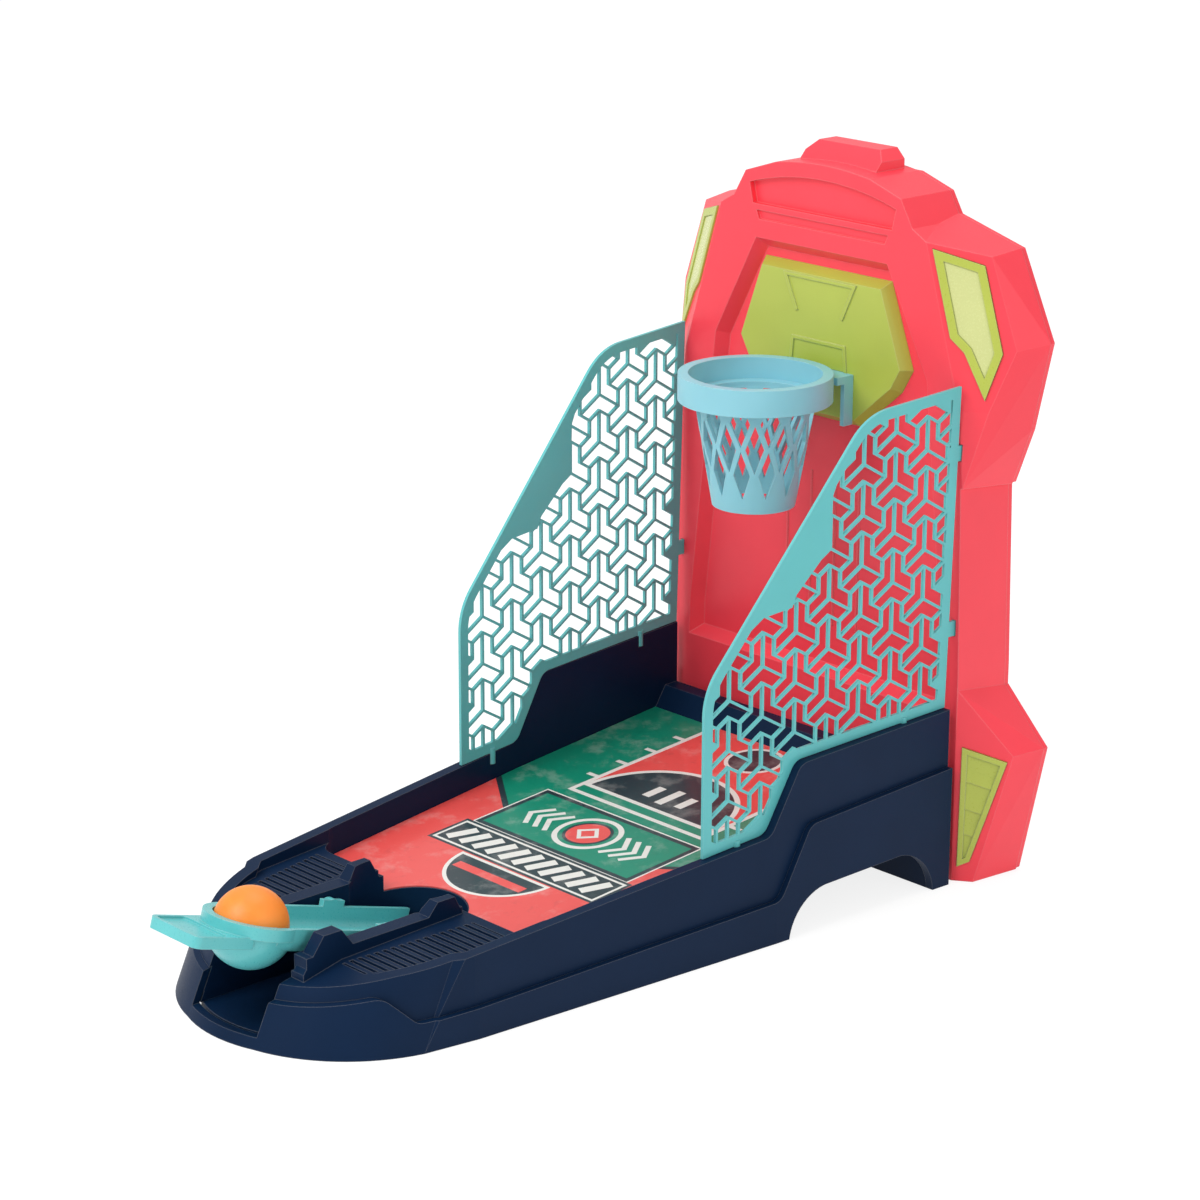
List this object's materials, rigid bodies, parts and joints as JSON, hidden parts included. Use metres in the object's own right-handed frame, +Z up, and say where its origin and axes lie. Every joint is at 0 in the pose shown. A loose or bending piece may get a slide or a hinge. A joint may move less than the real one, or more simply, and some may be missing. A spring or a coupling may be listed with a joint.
{
  "type": "tabletop basketball game",
  "caption": "Tabletop basketball game: a sloping court with side nets, a sprung finger lever that throws a ball, and a tower with backboard, hoop and basket",
  "frame": {"origin": "on the table under the middle of the whole game's box", "axes": "+X to the player's right, +Y from the player towards the tower, +Z up"},
  "size_m": [0.2, 0.3508, 0.2808],
  "materials": {
    "navy_plastic": "satin moulded navy plastic",
    "coral_plastic": "smooth moulded coral red plastic",
    "teal_plastic": "smooth moulded turquoise plastic",
    "sky_plastic": "smooth moulded light blue plastic",
    "lime_plastic": "smooth moulded lime green plastic",
    "ball_plastic": "smooth hollow orange plastic ball",
    "printed_card": "printed laminated card",
    "pad_rubber": "soft black rubber",
    "spring_steel": "drawn spring wire",
    "screw_steel": "zinc plated steel"
  },
  "bodies": {
    "base": {"base_skirt": "navy_plastic", "deck_shell": "navy_plastic", "court_card": "printed_card", "ball_tray": "navy_plastic", "stop_pad": "pad_rubber", "lever_spring": "spring_steel", "pivot_keepers": "navy_plastic", "tower_front": "coral_plastic", "tower_back": "coral_plastic", "backboard": "lime_plastic", "hoop_basket": "sky_plastic", "upper_insert_left": "lime_plastic", "upper_insert_right": "lime_plastic", "lower_insert_left": "lime_plastic", "lower_insert_right": "lime_plastic", "side_net_left": "teal_plastic", "side_net_right": "teal_plastic", "base_screws": "screw_steel", "tray_screws": "screw_steel", "keeper_screws": "screw_steel", "link_screws": "screw_steel", "cover_screws": "screw_steel", "backboard_screws": "screw_steel"},
    "launcher": {"launch_lever": "teal_plastic"},
    "loose_ball": {"ball": "ball_plastic"}
  },
  "joints": [
    {"name": "lever_hinge", "type": "hinge", "parent": "base", "child": "launcher", "pos_m": [0, -0.09184, 0.025], "axis": [1, 0, 0], "range_deg": [0, 19], "stiffness_Nm_per_rad": 0.06, "springref_deg": -28.65, "deforming": ["lever_spring"]},
    {"name": "ball_lift", "type": "slide", "parent": "launcher", "child": "loose_ball", "axis": [0, 0.284, 0.9588], "range_m": [0, 0.06]}
  ]
}
